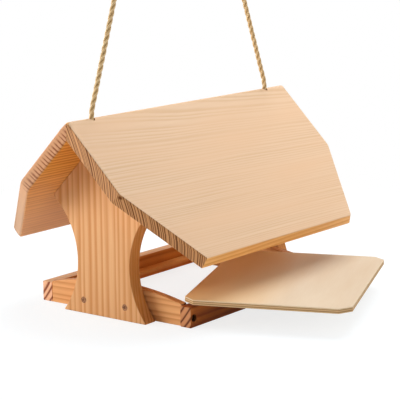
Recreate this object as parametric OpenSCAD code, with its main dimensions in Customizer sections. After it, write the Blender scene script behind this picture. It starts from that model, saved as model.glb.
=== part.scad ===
// Hanging bird table: a two-board saddle roof on two waisted gable boards, over an
// open tray of four rails. The plywood floor lies drawn out and turned across the tray's side.
// X runs across the tray, towards the drawn-out floor; Y runs along the ridge; Z is up.
// The origin is on the ground, in the middle of the tray.

/* [Roof] */
// Length of the roof boards along the ridge
roof_len = 420; // [390:1:450]
// Width of each roof board, from the ridge down the slope to the eave
roof_w = 208; // [195:1:225]
// Thickness of the roof boards
roof_t = 16; // [13:0.5:19]
// Pitch of the roof in degrees
roof_pitch = 45.5; // [43:0.5:48]
// Height of the ridge above the ground
ridge_h = 235; // [225:1:250]
// Length of the eave, between the two cut corners
eave_len = 300; // [260:1:340]
// Distance down the slope at which the corner cuts begin
cut_start = 104; // [90:1:120]
// Rounding of the ridge
ridge_round = 4; // [2:0.5:6]
// Rounding of the eave's edges
eave_round = 3; // [1:0.5:5]

/* [Gables] */
// Thickness of the gable boards
gable_t = 18; // [14:0.5:22]
// Width of a gable's foot
foot_w = 121; // [110:1:130]
// Width of a gable at its waist
waist_w = 76; // [66:1:86]
// Width of a gable across its shoulders, under the roof
shoulder_w = 147; // [140:1:154]
// Height of the upright edge at a gable's shoulders
shoulder_edge = 3; // [1:0.5:6]

/* [Tray] */
// Outer width of the tray, across the ridge
tray_w = 224; // [210:1:240]
// Outer length of the tray, along the ridge
tray_len = 275; // [255:1:295]
// Thickness of the side rails
side_t = 15; // [12:0.5:18]
// Height of the side rails
side_h = 24; // [22:0.5:26]
// Thickness of the end rails
end_t = 12; // [10:0.5:14]
// Height of the end rails where they meet the side rails
end_h = 25.5; // [24:0.5:28]
// Rise of the end rails' arched top edge
arch_rise = 11.5; // [8:0.5:15]
// Width of the ledge strips that carry the floor
ledge_w = 14.5; // [10:0.5:18]
// Height of the ledge strips
ledge_h = 8.5; // [7:0.5:10]

/* [Floor] */
// Thickness of the plywood floor
floor_t = 5; // [4:0.5:6]
// Gap on each side between the floor and the rails when the floor is in the tray
floor_gap = 1.2; // [0.6:0.1:3]
// Length of the corner cuts along the floor's edges
floor_clip = 13; // [8:1:18]
// Distance of the drawn-out floor's middle outside the tray's side
floor_out = 32; // [26:1:40]
// Distance of the drawn-out floor's middle from the tray's middle, along the ridge
floor_shift = 12; // [4:1:18]
// Turn of the drawn-out floor in degrees
floor_turn = 21.5; // [18:0.5:24]

/* [Fasteners] */
// Shank diameter of the screws
screw_d = 4; // [3:0.5:5]
// Head diameter of the screws
screw_head_d = 7.6; // [7:0.1:9]
// Length of the gable screws
gable_screw_len = 27; // [24:1:28]
// Distance between the two screws in a gable's foot
gable_screw_gap = 62; // [54:1:70]
// Height of the gable screws
gable_screw_z = 16; // [15:0.5:19]
// Length of the rail screws
rail_screw_len = 34; // [30:1:40]
// Height of the rail screws
rail_screw_z = 11; // [8:0.5:15]
// Depth of the rail screws' heads below the rail's face
rail_screw_sink = 2.5; // [1:0.5:4]
// Diameter of the roof's wooden dowels
dowel_d = 6; // [5:0.5:7]
// Length of the roof's wooden dowels
dowel_len = 18; // [14:1:20]
// Distance down the slope of the upper gable dowels
dowel_start = 48; // [42:1:56]
// Distance between the upper and lower gable dowels
dowel_step = 44; // [36:1:52]
// Distance between the dowels along the ridge
ridge_dowel_gap = 120; // [100:1:140]

/* [Rope] */
// Diameter of the hanging rope
rope_d = 6; // [5:0.5:7]
// Diameter of the rope holes in the ridge
rope_hole_d = 8; // [7.5:0.5:10]
// Distance of the rope holes from the middle of the ridge
rope_y = 170; // [164:1:180]
// Diameter of the stopper knots under the ridge
knot_d = 18; // [16:1:22]
// Length of the rope's tail below a stopper knot
tail_len = 14; // [8:1:24]
// Diameter of the knots under the hanging eyes
eye_knot_d = 17; // [15:1:20]
// Inner diameter of the hanging eyes
eye_d = 26; // [20:1:36]

/* [Fits] */
// Gap around a fastener in its hole
hole_gap = 0.1; // [0.05:0.05:0.2]
// Gap between a piece that rests loosely and its seat
seat_gap = 0.3; // [0.2:0.1:0.5]

/* [Hidden] */
$fn = 64;

larch = [0.86, 0.63, 0.42];
pale_larch = [0.91, 0.76, 0.60];
birch = [0.91, 0.82, 0.70];
steel = [0.45, 0.40, 0.36];
beech = [0.82, 0.66, 0.48];
sisal = [0.79, 0.66, 0.45];

// How far a cutting tool runs past the face that it cuts
over = 1;

// Tray places
inner_x = tray_w / 2 - side_t;
inner_y = tray_len / 2 - end_t;
arch_r = (pow(inner_x, 2) + pow(arch_rise, 2)) / (2 * arch_rise);
arch_mid_z = end_h + arch_rise - arch_r;
rail_screw_y = tray_len / 2 - end_t / 2;

// Height of an end rail's top edge at a distance from the middle, and of nothing past its ends
function arch_z(x) = abs(x) > inner_x ? 0 : arch_mid_z + sqrt(pow(arch_r, 2) - pow(x, 2));

// Height of the roof's underside at a distance from the ridge line
roof_depth = roof_t / cos(roof_pitch);
function under_z(x) = ridge_h - roof_depth - x * tan(roof_pitch);

// Gable places: on each side one arc runs from the foot's corner, touches the waist's width
// at waist_z and ends under the shoulder, so waist_z solves a quadratic equation
gable_mid_y = tray_len / 2 + gable_t / 2;
foot_out = (foot_w - waist_w) / 2;
shoulder_out = (shoulder_w - waist_w) / 2;
arc_top_z = under_z(shoulder_w / 2) - shoulder_edge;
arc_a = shoulder_out - foot_out;
arc_b = 2 * foot_out * arc_top_z;
arc_c = -foot_out * (pow(arc_top_z, 2) + shoulder_out * arc_a);
waist_z = (-arc_b + sqrt(pow(arc_b, 2) - 4 * arc_a * arc_c)) / (2 * arc_a);
waist_r = (pow(foot_out, 2) + pow(waist_z, 2)) / (2 * foot_out);

// Height of the ridge dowels: as far from the underside at the mitre as from the top at their ends
ridge_dowel_z = ridge_h - (roof_depth + dowel_len / 2 * tan(roof_pitch)) / 2;

// Floor sizes, from the space between the rails
floor_w = 2 * (inner_x - floor_gap);
floor_len = 2 * (inner_y - floor_gap);

// The drawn-out floor lies on the highest part of the rails below it: the far edge crosses
// the far end rail's inner face at far_cross, and the inner edge crosses the near one at near_cross
floor_x = tray_w / 2 + floor_out;
far_along = (inner_y - floor_shift - floor_len / 2 * cos(floor_turn)) / sin(floor_turn);
far_cross = floor_x + far_along * cos(floor_turn) - floor_len / 2 * sin(floor_turn);
near_along = (-inner_y - floor_shift + floor_w / 2 * sin(floor_turn)) / cos(floor_turn);
near_cross = floor_x - floor_w / 2 * cos(floor_turn) - near_along * sin(floor_turn);
floor_z = max(side_h, arch_z(far_cross), arch_z(near_cross)) + seat_gap;

// Rope places: a stopper knot is pulled up into the roof's inner corner, and a knot has a flat,
// a little wider than the rope, where a strand meets it
flat_rim = 1;
function flat_z(knot) = sqrt(pow(knot / 2, 2) - pow(rope_d / 2 + flat_rim, 2));
knot_z = ridge_h - roof_depth - knot_d / 2 / cos(roof_pitch) - seat_gap;
rope_start_z = knot_z + flat_z(knot_d);
rope_sides = 10;

// Routes of the two strands, as [towards the middle, up] from the hole's mouth in the ridge:
// straight up out of the hole, then taut and leaning towards each other up to the hanging eyes
rope_route_near = [[0, -13], [0, 1], [2, 11], [7, 25], [13, 42], [19, 59], [25, 76], [31, 93],
    [37, 110], [43, 127], [49, 144], [55, 161]];
rope_route_far = [[0, -13], [0, 1], [2, 11], [8, 25], [15, 42], [22, 59], [29, 76], [36, 93],
    [43, 110], [50, 127], [57, 144], [64, 161]];

// A strand's whole path as [y, z], on the near side or, with side 1, on the far side of the
// ridge's middle: it starts square on its stopper knot
function rope_path(route, side) = concat([[side * rope_y, rope_start_z]],
    [for (p = route) [side * (rope_y - p[0]), ridge_h + p[1]]]);

// Direction of a path at point i, towards its next point and away from the last one
function path_way(path, i) =
    let (ahead = path[min(i + 1, len(path) - 1)], behind = path[max(i - 1, 0)])
    (ahead - behind) / norm(ahead - behind);

// One ring of a rope tube: a circle square to the path at point i
function rope_ring(path, i) =
    let (way = path_way(path, i))
    [for (k = [0:rope_sides - 1])
        let (a = 360 * k / rope_sides, side = rope_d / 2 * cos(a), lift = rope_d / 2 * sin(a))
        [side, path[i][0] + lift * way[1], path[i][1] - lift * way[0]]];

// The angle by which a path's last stretch leans from upright, towards +Y
function lean(path) =
    let (way = path[len(path) - 1] - path[len(path) - 2])
    atan2(way[0], way[1]);

// Outline of the right-hand roof board, across the ridge: a mitred board with round edges
module roof_profile() {
    touch = ridge_round * tan(roof_pitch);
    difference() {
        intersection() {
            translate([0, ridge_h]) rotate(-roof_pitch) {
                translate([-roof_w, -roof_t]) square([2 * roof_w - eave_round, roof_t]);
                translate([0, eave_round - roof_t]) square([roof_w, roof_t - 2 * eave_round]);
                for (n = [-eave_round, eave_round - roof_t])
                    translate([roof_w - eave_round, n]) circle(eave_round);
            }
            square([roof_w + roof_t, ridge_h + over]);
        }
        translate([0, ridge_h]) difference() {
            translate([-over, -touch * sin(roof_pitch)])
                square([over + touch * cos(roof_pitch), touch * sin(roof_pitch) + over]);
            translate([0, -ridge_round / cos(roof_pitch)]) circle(ridge_round);
        }
    }
}

// One corner cut, in the plane of a roof board: past both ends of the line from the board's
// end at cut_start to the end of the eave
module corner_cut() {
    run = (roof_w - cut_start) / 4;
    inset = (roof_len - eave_len) / 2 / 4;
    far_s = roof_w + run;
    far_y = roof_len / 2 + inset;
    translate([0, 0, -roof_t - over]) linear_extrude(roof_t + 2 * over)
        polygon([[cut_start - run, far_y], [far_s, eave_len / 2 - inset], [far_s, far_y]]);
}

// Carries its children to the plane of the right-hand roof board's outer face
module on_slope() {
    translate([0, 0, ridge_h]) rotate([0, roof_pitch, 0]) children();
}

// One dowel along Z, or its hole with a gap all round
module dowel(gap = 0) {
    cylinder(d = dowel_d + 2 * gap, h = dowel_len + 2 * gap, center = true);
}

// The gable dowels on the right-hand slope, half in the roof and half in the gable
module slope_dowels(y, gap = 0) {
    on_slope() for (s = [dowel_start, dowel_start + dowel_step])
        translate([s, y, -roof_t]) dowel(gap);
}

// The dowels across the ridge's mitre
module mitre_dowels(gap = 0) {
    for (y = [-ridge_dowel_gap, 0, ridge_dowel_gap])
        translate([0, y, ridge_dowel_z]) rotate([0, 90, 0]) dowel(gap);
}

module roof_board_right() {
    color(pale_larch) difference() {
        rotate([90, 0, 0]) linear_extrude(roof_len, center = true) roof_profile();
        on_slope() for (end = [0, 1]) mirror([0, end, 0]) corner_cut();
        for (y = [-rope_y, rope_y])
            translate([0, y, ridge_h - 2 * roof_depth]) cylinder(d = rope_hole_d, h = 2 * roof_depth + over);
        mitre_dowels(hole_gap);
        for (y = [-gable_mid_y, gable_mid_y]) slope_dowels(y, hole_gap);
    }
}

module roof_board_left() {
    mirror([1, 0, 0]) roof_board_right();
}

// A countersunk screw along Z with its head's flat face at the origin, or its hole
module screw(length, gap = 0) {
    cone = (screw_head_d - screw_d) / 2;
    translate([0, 0, -length - gap]) cylinder(d = screw_d + 2 * gap, h = length + gap);
    translate([0, 0, -cone]) cylinder(d1 = screw_d + 2 * gap, d2 = screw_head_d + 2 * gap, h = cone);
}

// A screw with the cross recess that drives it
module driven_screw(length) {
    recess_w = screw_d / 4;
    recess_len = screw_head_d / 2;
    color(steel) difference() {
        screw(length);
        for (a = [0, 90]) rotate(a)
            translate([-recess_len / 2, -recess_w / 2, -recess_w])
                cube([recess_len, recess_w, recess_w + over]);
    }
}

// Places of the screws in the near gable's foot and in the right-hand side rail
module at_gable_screws() {
    for (x = [-gable_screw_gap / 2, gable_screw_gap / 2])
        translate([x, -tray_len / 2 - gable_t, gable_screw_z]) rotate([90, 0, 0]) children();
}
module at_rail_screws() {
    for (y = [-rail_screw_y, rail_screw_y])
        translate([tray_w / 2 - rail_screw_sink, y, rail_screw_z]) rotate([0, 90, 0]) children();
}

// Outline of a gable: the roof's shape above, drawn in to a waist by two arcs
module gable_profile() {
    shoulder = shoulder_w / 2;
    difference() {
        polygon([[-shoulder, 0], [shoulder, 0], [shoulder, under_z(shoulder)], [0, under_z(0)],
            [-shoulder, under_z(shoulder)]]);
        for (side = [-1, 1])
            translate([side * (waist_w / 2 + waist_r), waist_z]) circle(waist_r, $fn = 180);
    }
}

module gable_near() {
    color(larch) difference() {
        translate([0, -tray_len / 2, 0]) rotate([90, 0, 0]) linear_extrude(gable_t) gable_profile();
        at_gable_screws() screw(gable_screw_len, hole_gap);
        for (side = [0, 1]) mirror([side, 0, 0]) slope_dowels(-gable_mid_y, hole_gap);
    }
}

module gable_far() {
    mirror([0, 1, 0]) gable_near();
}

// The end rail stands between the side rails, and its top edge is one shallow arc
module end_rail_near() {
    color(larch) difference() {
        translate([0, end_t - tray_len / 2, 0]) rotate([90, 0, 0]) linear_extrude(end_t)
            intersection() {
                translate([-inner_x, 0]) square([2 * inner_x, end_h + arch_rise]);
                translate([0, arch_mid_z]) circle(arch_r, $fn = 360);
            }
        at_gable_screws() screw(gable_screw_len, hole_gap);
        for (side = [0, 1]) mirror([side, 0, 0]) at_rail_screws() screw(rail_screw_len, hole_gap);
    }
}

module end_rail_far() {
    mirror([0, 1, 0]) end_rail_near();
}

module side_rail_right() {
    color(larch) difference() {
        translate([inner_x, -tray_len / 2, 0]) cube([side_t, tray_len, side_h]);
        at_rail_screws() {
            screw(rail_screw_len, hole_gap);
            cylinder(d = screw_head_d + 2 * hole_gap, h = rail_screw_sink + over);
        }
    }
}

module side_rail_left() {
    mirror([1, 0, 0]) side_rail_right();
}

module ledge_strip_right() {
    color(larch) translate([inner_x - ledge_w, -inner_y, 0]) cube([ledge_w, 2 * inner_y, ledge_h]);
}

module ledge_strip_left() {
    mirror([1, 0, 0]) ledge_strip_right();
}

// The plywood floor with its four clipped corners, where it lies drawn out
module floor_plate() {
    w = floor_w / 2;
    l = floor_len / 2;
    c = floor_clip;
    color(birch) translate([floor_x, floor_shift, floor_z]) rotate(floor_turn) linear_extrude(floor_t)
        polygon([[-w, c - l], [c - w, -l], [w - c, -l], [w, c - l],
            [w, l - c], [w - c, l], [c - w, l], [-w, l - c]]);
}

module gable_screws_near() {
    at_gable_screws() driven_screw(gable_screw_len);
}

module gable_screws_far() {
    mirror([0, 1, 0]) gable_screws_near();
}

module rail_screws_right() {
    at_rail_screws() driven_screw(rail_screw_len);
}

module rail_screws_left() {
    mirror([1, 0, 0]) rail_screws_right();
}

module ridge_dowels() {
    color(beech) mitre_dowels();
}

module roof_dowels_near() {
    color(beech) for (side = [0, 1]) mirror([side, 0, 0]) slope_dowels(-gable_mid_y);
}

module roof_dowels_far() {
    mirror([0, 1, 0]) roof_dowels_near();
}

// One strand as a closed tube: rings along its path, skinned with triangles and capped
module rope_tube(path) {
    last = len(path) - 1;
    n = rope_sides;
    points = [for (i = [0:last]) each rope_ring(path, i)];
    skin = [for (i = [0:last - 1], k = [0:n - 1])
        let (a = i * n + k, b = i * n + (k + 1) % n)
        each [[a, a + n, b + n], [a, b + n, b]]];
    caps = [[for (k = [0:n - 1]) k], [for (k = [0:n - 1]) last * n + n - 1 - k]];
    color(sisal) polyhedron(points, concat(skin, caps));
}

module rope_near() {
    rope_tube(rope_path(rope_route_near, -1));
}

module rope_far() {
    rope_tube(rope_path(rope_route_far, 1));
}

// A stopper knot with the rope's tail, flat where the strand leaves it
module stopper_knot(y) {
    color(sisal) translate([0, y, knot_z]) {
        intersection() {
            sphere(d = knot_d);
            translate([-knot_d, -knot_d, -knot_d]) cube([2 * knot_d, 2 * knot_d, knot_d + flat_z(knot_d)]);
        }
        translate([0, 0, -knot_d / 2 - tail_len]) cylinder(d = rope_d, h = knot_d / 2 + tail_len);
    }
}

module rope_knot_near() {
    stopper_knot(-rope_y);
}

module rope_knot_far() {
    stopper_knot(rope_y);
}

// A hanging eye at the top of a strand: a knot, flat where the strand enters it, and a loop
module hanging_eye(path) {
    end = path[len(path) - 1];
    ring_r = (eye_d + rope_d) / 2;
    flat = flat_z(eye_knot_d);
    color(sisal) translate([0, end[0], end[1]]) rotate([-lean(path), 0, 0]) {
        translate([0, 0, flat]) intersection() {
            sphere(d = eye_knot_d);
            translate([-eye_knot_d, -eye_knot_d, -flat])
                cube([2 * eye_knot_d, 2 * eye_knot_d, 2 * eye_knot_d]);
        }
        translate([0, 0, flat + ring_r + rope_d / 2]) rotate([0, 90, 0])
            rotate_extrude() translate([ring_r, 0]) circle(d = rope_d);
    }
}

module rope_eye_near() {
    hanging_eye(rope_path(rope_route_near, -1));
}

module rope_eye_far() {
    hanging_eye(rope_path(rope_route_far, 1));
}

roof_board_left();
roof_board_right();
gable_near();
gable_far();
end_rail_near();
end_rail_far();
side_rail_left();
side_rail_right();
ledge_strip_left();
ledge_strip_right();
floor_plate();
gable_screws_near();
gable_screws_far();
rail_screws_left();
rail_screws_right();
ridge_dowels();
roof_dowels_near();
roof_dowels_far();
rope_near();
rope_far();
rope_knot_near();
rope_knot_far();
rope_eye_near();
rope_eye_far();
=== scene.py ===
"""The bird table's looks: planed larch boards, a plywood floor, sunk screws and laid sisal rope.

Shapes are worked out in millimetres, in the CAD model's frame: X across the tray towards the drawn-out floor,
Y along the ridge, Z up, with the origin on the ground in the middle of the tray.
"""
import math

import bpy
import numpy as np
from mathutils import Matrix, Vector


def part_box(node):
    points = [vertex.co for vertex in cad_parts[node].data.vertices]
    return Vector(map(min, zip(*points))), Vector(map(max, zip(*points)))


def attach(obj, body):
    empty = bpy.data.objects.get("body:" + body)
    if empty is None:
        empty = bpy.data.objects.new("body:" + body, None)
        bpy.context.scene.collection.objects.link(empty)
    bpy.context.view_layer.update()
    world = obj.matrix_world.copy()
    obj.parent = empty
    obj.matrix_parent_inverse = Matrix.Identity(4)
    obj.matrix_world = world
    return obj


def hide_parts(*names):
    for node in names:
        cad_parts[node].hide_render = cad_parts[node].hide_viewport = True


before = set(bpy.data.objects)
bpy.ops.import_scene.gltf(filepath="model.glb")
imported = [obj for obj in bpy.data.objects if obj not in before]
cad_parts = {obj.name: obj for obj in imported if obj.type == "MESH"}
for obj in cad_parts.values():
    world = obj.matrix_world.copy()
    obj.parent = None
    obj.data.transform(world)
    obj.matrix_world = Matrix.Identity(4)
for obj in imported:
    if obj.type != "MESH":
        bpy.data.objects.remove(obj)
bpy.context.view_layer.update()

# Sizes that a node's box doesn't give, in millimetres and radians. They are the CAD model's, but the gables
# are a little wider at foot and waist, and the floor is a little thicker and tilted, as the photograph shows
MM = 0.001
RIDGE_Z = 235.0
ROOF_PITCH = math.radians(45.5)
ROOF_W = 208.0
ROOF_T = 16.0
ROOF_LEN = 420.0
EAVE_LEN = 300.0
CUT_START = 104.0
RIDGE_ROUND = 4.0
FOOT_W = 125.0
WAIST_W = 78.5
SHOULDER_EDGE = 3.0
ARCH_RISE = 11.5
FLOOR_CLIP = 13.0
FLOOR_TURN = math.radians(21.5)
FLOOR_W = 191.6
FLOOR_LEN = 248.6
FLOOR_T = 6.0
FLOOR_TILT = math.radians(0.6)
SCREW_HEAD_D = 7.6
SCREW_HEAD_GAP = 0.15
RAIL_HOLE_R = 4.3
RAIL_SCREW_Y = 131.5
RAIL_SCREW_Z = 11.0
RAIL_MID_Z = 12.0
ROPE_D = 6.0
ROPE_HOLE_D = 8.0
ROPE_Y = 170.0
KNOT_D = 18.0
EYE_KNOT_D = 17.0
EYE_D = 26.0
TAIL_LEN = 14.0
FLAT_RIM = 1.0
SEAT_GAP = 0.3

# How far the edges of the pieces are eased, and in how many steps. At the near end the ridge's corner is rounded
# over this length and height. The end rails lie behind the gables by these gaps at the left and at the right
GABLE_EASE = 1.0
RAIL_EASE = 0.8
PLY_EASE = 0.4
EASE_STEPS = 4
RIDGE_CORNER = (5.5, 4.0)
END_RAIL_GAP = (0.3, 2.6)

# Points on the gables' arcs, the end rails' arches, the rope holes, the bores and the wound knots
GABLE_ARC_POINTS = 56
RAIL_ARCH_POINTS = 50
ROPE_HOLE_POINTS = 13
BORE_POINTS = 48
COIL_POINTS = 90

# Places that follow from these sizes
UNDER_RIDGE_Z = RIDGE_Z - ROOF_T / math.cos(ROOF_PITCH)
KNOT_Z = UNDER_RIDGE_Z - KNOT_D / 2 / math.cos(ROOF_PITCH) - SEAT_GAP
X, Y, Z = np.eye(3)


def span(node):
    """Lowest and highest corner of a CAD node, in millimetres."""
    low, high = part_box(node)
    return np.array(low) / MM, np.array(high) / MM


# Camera: the view fitted to the photograph's edges
CAMERA_AZIMUTH = math.radians(37.09)
CAMERA_ELEVATION = math.radians(10.84)
CAMERA_ROLL = math.radians(-0.52)
CAMERA_DISTANCE = 1858.5
CAMERA_TARGET = np.array([22.6, 0.0, 115.56])
CAMERA_LENS = 138.0


def place_camera():
    """Stands the camera at its distance from the target, by azimuth and elevation, and turns it by the roll."""
    a, e, r = CAMERA_AZIMUTH, CAMERA_ELEVATION, CAMERA_ROLL
    back = np.array([math.sin(a) * math.cos(e), -math.cos(a) * math.cos(e), math.sin(e)])
    right = np.array([math.cos(a), math.sin(a), 0.0])
    up = np.cross(back, right)
    right, up = right * math.cos(r) + up * math.sin(r), up * math.cos(r) - right * math.sin(r)
    data = bpy.data.cameras.new("camera")
    data.lens = CAMERA_LENS
    data.sensor_width = 36.0
    data.clip_end = 50.0
    camera = bpy.data.objects.new("camera", data)
    turn = Matrix(np.column_stack([right, up, back]).tolist()).to_4x4()
    camera.matrix_world = Matrix.Translation(Vector((CAMERA_TARGET + back * CAMERA_DISTANCE) * MM)) @ turn
    bpy.context.scene.collection.objects.link(camera)
    bpy.context.scene.camera = camera


place_camera()


def linear(code):
    """A hex sRGB colour as linear RGBA."""
    s = np.array([int(code[i:i + 2], 16) for i in (1, 3, 5)]) / 255
    rgb = np.where(s <= 0.04045, s / 12.92, ((s + 0.055) / 1.055) ** 2.4)
    return (*rgb.tolist(), 1.0)


def new_material(name):
    """A node material, its tree and its Principled shader."""
    material = bpy.data.materials.new(name)
    material.use_nodes = True
    tree = material.node_tree
    return material, tree, tree.nodes["Principled BSDF"]


def add(tree, kind, *values, out=0, stops=(), sockets=None, **settings):
    """Adds a node and gives one of its outputs.

    values fill or link its inputs in order, and sockets those of the given names or numbers. stops are a ramp's
    pairs of a place and a grey or a hex colour.
    """
    node = tree.nodes.new("ShaderNode" + kind)
    for key, value in settings.items():
        setattr(node, key, value)
    for key, value in [*enumerate(values), *(sockets or {}).items()]:
        if isinstance(value, bpy.types.NodeSocket):
            tree.links.new(value, node.inputs[key])
        else:
            node.inputs[key].default_value = value
    for place, tone in stops[1:-1]:
        node.color_ramp.elements.new(place)
    for element, (place, tone) in zip(node.color_ramp.elements if stops else (), stops):
        element.position = place
        element.color = linear(tone) if isinstance(tone, str) else (tone, tone, tone, 1)
    return node.outputs[out]


# A colour Mix node's sockets
COLOUR_A, COLOUR_B, COLOUR_OUT = 6, 7, 2


def board_place(tree, axes, centre):
    """Object coordinates as millimetres along a board's own three axes, from its own centre."""
    turn = Matrix(axes.tolist()).to_euler()
    return add(tree, "Mapping", add(tree, "TexCoord", out="Object"),
               sockets={"Scale": (1 / MM,) * 3, "Rotation": turn, "Location": tuple(-axes @ centre)})


def lumps(tree, place, sizes, detail=2.0):
    """Noise from 0 to 1 in lumps of three sizes along the axes of a place, in millimetres."""
    shrunk = add(tree, "VectorMath", place, tuple(1 / size for size in sizes), operation="MULTIPLY")
    return add(tree, "TexNoise", shrunk, sockets={"Scale": 1.0, "Detail": detail})


def make_piece(name, points, faces, material, body, node):
    """A mesh at the origin, from points in millimetres, that rides on a body and stands for a CAD node."""
    mesh = bpy.data.meshes.new(name)
    mesh.from_pydata((np.asarray(points).reshape(-1, 3) * MM).tolist(), [], faces)
    mesh.materials.append(material)
    mesh.polygons.foreach_set("use_smooth", np.ones(len(mesh.polygons), bool))
    piece = bpy.data.objects.new(name, mesh)
    bpy.context.scene.collection.objects.link(piece)
    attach(piece, body)
    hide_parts(node)
    return piece


def strips(rows, columns):
    """Quads between the neighbouring rows of a grid whose last column joins its first."""
    i, j = np.meshgrid(np.arange(rows - 1), np.arange(columns), indexing="ij")
    k = (j + 1) % columns
    quads = [i * columns + j, i * columns + k, (i + 1) * columns + k, (i + 1) * columns + j]
    return np.stack(quads, -1).reshape(-1, 4)


# Laid rope: three strands that turn once round each other in this length, with grooves this deep
ROPE_LAY = 27.0
GROOVE = 0.27
ROPE_COLUMNS = 36
ROPE_STEP = 1.0


def sisal():
    """Sisal rope: stiff, shiny, straw-coloured leaf fibres laid up in three strands, with shade painted into the
    grooves.
    """
    material, tree, shader = new_material("sisal_rope")
    lay = add(tree, "Attribute", attribute_name="lay", out="Vector")
    groove = add(tree, "Attribute", attribute_name="groove", out="Fac")
    fibre = lumps(tree, lay, (0.35, 0.35, 7))
    patch = lumps(tree, lay, (4, 4, 14), 1.0)
    fibres = add(tree, "ValToRGB", fibre, stops=[(0.30, "#cda46a"), (0.52, "#e8c894"), (0.72, "#f8e6be")])
    patched = add(tree, "Mix", add(tree, "Math", patch, 0.4, operation="MULTIPLY"), data_type="RGBA",
                  out=COLOUR_OUT, sockets={COLOUR_A: fibres, COLOUR_B: linear("#d8b478")})
    # Painted shade: the colour darkens towards #a8824a in the grooves between the strands
    deep = add(tree, "Mix", groove, data_type="RGBA", out=COLOUR_OUT,
               sockets={COLOUR_A: patched, COLOUR_B: linear("#a8824a")})
    tree.links.new(deep, shader.inputs["Base Color"])
    bump = add(tree, "Bump", sockets={"Height": fibre, "Strength": 0.7, "Distance": 0.25 * MM})
    tree.links.new(bump, shader.inputs["Normal"])
    shader.inputs["Roughness"].default_value = 0.62
    shader.inputs["Sheen Weight"].default_value = 0.15
    return material


sisal_rope = sisal()


def smooth_path(points):
    """A Catmull-Rom curve through given points, sampled about every ROPE_STEP."""
    points = np.asarray(points, float)
    p = np.vstack([2 * points[0] - points[1], points, 2 * points[-1] - points[-2]])
    count = math.ceil(np.linalg.norm(np.diff(points, axis=0), axis=1).max() / ROPE_STEP)
    f = (np.arange(count) / count)[None, :, None]
    a, b, c, d = p[:-3, None], p[1:-2, None], p[2:-1, None], p[3:, None]
    curve = 0.5 * (2 * b + (c - a) * f + (2 * a - 5 * b + 4 * c - d) * f ** 2
                   + (3 * b - a - 3 * c + d) * f ** 3)
    return np.vstack([curve.reshape(-1, 3), points[-1:]])


def laid_tube(path, side):
    """Rings square to a path, turned with the strands: points, untwisted places and groove depths.

    At a distance t along the path and an angle a round it, the strands' own angle is b = a - 2 pi t / lay, and
    the radius is R (1 - g |sin 1.5 b|^3), which has three round crowns and three narrow grooves. side gives the
    direction from which a is counted.
    """
    way = np.gradient(path, axis=0)
    way = way / np.linalg.norm(way, axis=1, keepdims=True)
    along = np.concatenate([[0], np.cumsum(np.linalg.norm(np.diff(path, axis=0), axis=1))])[:, None]
    side = np.broadcast_to(side, path.shape)
    side = side - (side * way).sum(1, keepdims=True) * way
    side = side / np.linalg.norm(side, axis=1, keepdims=True)
    other = np.cross(way, side)
    angle = np.linspace(0, 2 * np.pi, ROPE_COLUMNS, endpoint=False)[None]
    strand_angle = angle - 2 * np.pi * along / ROPE_LAY
    groove = np.abs(np.sin(1.5 * strand_angle)) ** 3
    radius = ROPE_D / 2 * (1 - GROOVE * groove)
    spoke = np.cos(angle)[..., None] * side[:, None] + np.sin(angle)[..., None] * other[:, None]
    points = path[:, None] + radius[..., None] * spoke
    untwisted = np.broadcast_arrays(radius * np.cos(strand_angle), radius * np.sin(strand_angle), along)
    return points, np.stack(untwisted, -1), groove


def rope_piece(name, runs, node):
    """A piece of laid rope with closed ends, made of runs: each a path and the side to count angles from."""
    tubes = [laid_tube(path, side) for path, side in runs]
    faces, start = [], 0
    for points, _, _ in tubes:
        rows, columns = points.shape[:2]
        first = np.arange(columns) + start
        faces += (strips(rows, columns) + start).tolist()
        faces += [first[::-1].tolist(), (first + (rows - 1) * columns).tolist()]
        start += rows * columns
    points = np.vstack([tube[0].reshape(-1, 3) for tube in tubes])
    piece = make_piece(name, points, faces, sisal_rope, "table", node)
    lay = piece.data.attributes.new("lay", "FLOAT_VECTOR", "POINT")
    lay.data.foreach_set("vector", np.vstack([tube[1].reshape(-1, 3) for tube in tubes]).ravel())
    groove = piece.data.attributes.new("groove", "FLOAT", "POINT")
    groove.data.foreach_set("value", np.concatenate([tube[2].ravel() for tube in tubes]))
    return piece


# Routes of the strands, as in the CAD model: towards the middle and up, from the hole's mouth in the ridge
ROUTE_NEAR = [(0, -13), (0, 1), (2, 11), (7, 25), (13, 42), (19, 59), (25, 76), (31, 93),
              (37, 110), (43, 127), (49, 144), (55, 161)]
ROUTE_FAR = [(0, -13), (0, 1), (2, 11), (8, 25), (15, 42), (22, 59), (29, 76), (36, 93),
             (43, 110), (50, 127), (57, 144), (64, 161)]


def ball_flat(ball_d):
    """Distance from a knot's middle to the flat where a strand meets it."""
    return math.sqrt((ball_d / 2) ** 2 - (ROPE_D / 2 + FLAT_RIM) ** 2)


def coil(middle, axis, ball_d, turns=2.5, slant=math.radians(58)):
    """A rope wound round an axis on a ball, from below to above: its path and the ball's outward directions."""
    other = np.cross(axis, X)
    share = np.linspace(0, 1, COIL_POINTS)[:, None]
    rise = slant * (2 * share - 1)
    around = 2 * np.pi * turns * share
    out = np.cos(rise) * (np.cos(around) * X + np.sin(around) * other) + np.sin(rise) * axis
    return middle + (ball_d - ROPE_D) / 2 * out, out


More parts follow.
